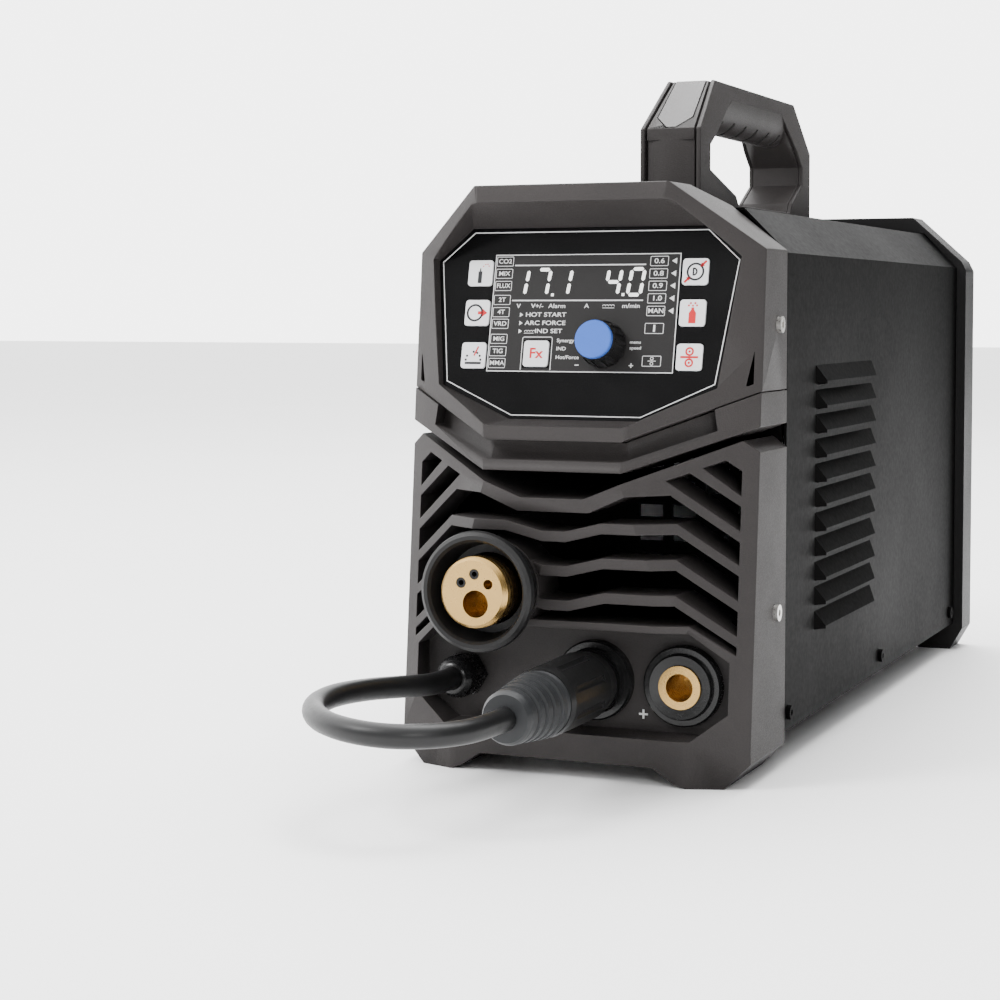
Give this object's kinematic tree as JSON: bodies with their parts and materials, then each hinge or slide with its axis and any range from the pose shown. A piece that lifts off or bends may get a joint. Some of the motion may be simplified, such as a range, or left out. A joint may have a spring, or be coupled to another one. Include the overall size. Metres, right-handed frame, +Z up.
{
  "type": "mig welding machine",
  "caption": "Compact boxed wire welding power source with faceted front, display and knob, torch and cable sockets, carrying handle, wire bay door and rear fan.",
  "frame": {"origin": "middle of the footprint of the machine on the floor, without the plugged-in lead", "axes": "+Z up, -Y out of the front panel, +X to the right seen from the front"},
  "size_m": [0.19, 0.6729, 0.3475],
  "materials": {
    "aluminium": "extruded aluminium",
    "black_plastic": "black moulded plastic",
    "black_rubber": "black rubber",
    "black_steel": "satin black powder coat",
    "blue_plastic": "satin blue plastic",
    "brass": "machined brass",
    "cable_rubber": "smooth black cable rubber",
    "cap_plastic": "smoother mid-grey moulded plastic",
    "capacitor_sleeve": "sleeved capacitor can",
    "case_plastic": "fine-grained warm dark grey moulded plastic",
    "circuit_board": "solder-masked board",
    "display_film": "glossy black printed film",
    "ferrite": "ferrite core",
    "gas_rubber": "black gas hose",
    "gloss_black": "semi-gloss black plastic",
    "grey_rubber": "dark grey rubber",
    "key_white": "satin white plastic",
    "motor_steel": "painted motor can",
    "nickel_steel": "nickel-plated steel",
    "nylon": "black nylon",
    "rear_plastic": "black moulded plastic",
    "red_plastic": "red plastic",
    "valve_body": "brass body with coil",
    "zinc_steel": "zinc-plated steel sheet"
  },
  "bodies": {
    "chassis": {"base_tray": "black_steel", "black_screws": "black_steel", "capacitors": "capacitor_sleeve", "choke": "ferrite", "cover": "black_steel", "display_board": "circuit_board", "display_overlay": "display_film", "divider": "zinc_steel", "door_hinges": "black_steel", "euro_collar": "black_plastic", "euro_contacts": "black_plastic", "euro_socket": "brass", "fan_frame": "black_plastic", "fan_guard": "nickel_steel", "feed_motor": "motor_steel", "feeder_plate": "zinc_steel", "front_bezel": "case_plastic", "front_grille": "case_plastic", "front_plate": "black_steel", "front_strip": "case_plastic", "gas_hose": "gas_rubber", "gas_inlet": "brass", "gas_valve": "valve_body", "handle_cap": "cap_plastic", "handle_core": "case_plastic", "handle_shells": "case_plastic", "heatsinks": "aluminium", "hub_nut": "red_plastic", "main_board": "circuit_board", "mains_gland": "black_plastic", "polarity_cable": "cable_rubber", "polarity_gland": "gloss_black", "polarity_plug_body": "black_rubber", "polarity_plug_boot": "grey_rubber", "power_switch_body": "gloss_black", "rear_panel": "rear_plastic", "side_screws": "nickel_steel", "socket_housings": "gloss_black", "socket_inserts": "brass", "spool_spindle": "black_plastic", "transformer": "ferrite"},
    "knob": {"knob_body": "black_plastic", "knob_cap": "blue_plastic"},
    "door": {"side_door": "black_steel"},
    "latch_lower": {"door_latch_lower": "black_plastic"},
    "latch_upper": {"door_latch_upper": "black_plastic"},
    "fan_rotor": {"fan_rotor": "black_plastic"},
    "rocker": {"power_switch_rocker": "red_plastic"},
    "drive_roll": {"drive_roll": "nickel_steel"},
    "pressure_arm": {"pressure_arm": "black_plastic"},
    "pressure_roll": {"pressure_roll": "nickel_steel"},
    "tension_knob": {"tension_knob": "red_plastic"},
    "spool_hub": {"spool_hub": "nylon"},
    "key_left_top": {"key_left_top": "key_white"},
    "key_left_middle": {"key_left_middle": "key_white"},
    "key_left_bottom": {"key_left_bottom": "key_white"},
    "key_right_top": {"key_right_top": "key_white"},
    "key_right_middle": {"key_right_middle": "key_white"},
    "key_right_bottom": {"key_right_bottom": "key_white"},
    "key_function": {"key_function": "key_white"}
  },
  "joints": [
    {"name": "knob_turn", "type": "hinge", "parent": "chassis", "child": "knob", "pos_m": [0.012, -0.22338, 0.20568], "axis": [0, -0.9764, 0.2158], "continuous": true},
    {"name": "key_left_top_press", "type": "slide", "parent": "chassis", "child": "key_left_top", "axis": [0, 0.9764, -0.2158], "range_m": [0, 0.0005], "stiffness_N_per_m": 1500},
    {"name": "key_left_middle_press", "type": "slide", "parent": "chassis", "child": "key_left_middle", "axis": [0, 0.9764, -0.2158], "range_m": [0, 0.0005], "stiffness_N_per_m": 1500},
    {"name": "key_left_bottom_press", "type": "slide", "parent": "chassis", "child": "key_left_bottom", "axis": [0, 0.9764, -0.2158], "range_m": [0, 0.0005], "stiffness_N_per_m": 1500},
    {"name": "key_right_top_press", "type": "slide", "parent": "chassis", "child": "key_right_top", "axis": [0, 0.9764, -0.2158], "range_m": [0, 0.0005], "stiffness_N_per_m": 1500},
    {"name": "key_right_middle_press", "type": "slide", "parent": "chassis", "child": "key_right_middle", "axis": [0, 0.9764, -0.2158], "range_m": [0, 0.0005], "stiffness_N_per_m": 1500},
    {"name": "key_right_bottom_press", "type": "slide", "parent": "chassis", "child": "key_right_bottom", "axis": [0, 0.9764, -0.2158], "range_m": [0, 0.0005], "stiffness_N_per_m": 1500},
    {"name": "key_function_press", "type": "slide", "parent": "chassis", "child": "key_function", "axis": [0, 0.9764, -0.2158], "range_m": [0, 0.0005], "stiffness_N_per_m": 1500},
    {"name": "door_swing", "type": "hinge", "parent": "chassis", "child": "door", "pos_m": [-0.0916, -0.1739, 0.13], "axis": [0, 0, 1], "range_deg": [0, 110]},
    {"name": "latch_lower_turn", "type": "hinge", "parent": "door", "child": "latch_lower", "pos_m": [-0.09, 0.1995, 0.0835], "axis": [-1, 0, 0], "range_deg": [0, 90]},
    {"name": "latch_upper_turn", "type": "hinge", "parent": "door", "child": "latch_upper", "pos_m": [-0.09, 0.1995, 0.188], "axis": [-1, 0, 0], "range_deg": [0, 90]},
    {"name": "fan_spin", "type": "hinge", "parent": "chassis", "child": "fan_rotor", "pos_m": [0.043, 0.2355, 0.092], "axis": [0, 1, 0], "continuous": true},
    {"name": "power_switch_rock", "type": "hinge", "parent": "chassis", "child": "rocker", "pos_m": [0.043, 0.2475, 0.196], "axis": [0, 0, 1], "range_deg": [0, 18]},
    {"name": "drive_roll_turn", "type": "hinge", "parent": "chassis", "child": "drive_roll", "pos_m": [-0.0325, -0.0965, 0.0755], "axis": [1, 0, 0], "continuous": true},
    {"name": "pressure_arm_lift", "type": "hinge", "parent": "chassis", "child": "pressure_arm", "pos_m": [-0.022, -0.1305, 0.113], "axis": [1, 0, 0], "range_deg": [0, 50]},
    {"name": "pressure_roll_turn", "type": "hinge", "parent": "pressure_arm", "child": "pressure_roll", "pos_m": [-0.0325, -0.0965, 0.1025], "axis": [1, 0, 0], "continuous": true},
    {"name": "tension_knob_turn", "type": "hinge", "parent": "pressure_arm", "child": "tension_knob", "pos_m": [-0.0305, -0.0665, 0.12], "axis": [0, 0, 1], "continuous": true},
    {"name": "spool_hub_turn", "type": "hinge", "parent": "chassis", "child": "spool_hub", "pos_m": [-0.034, 0.0985, 0.135], "axis": [1, 0, 0], "continuous": true}
  ],
  "couplings": [
    {"joint": "pressure_roll_turn", "follows": "drive_roll_turn", "ratio": -1.3636}
  ]
}
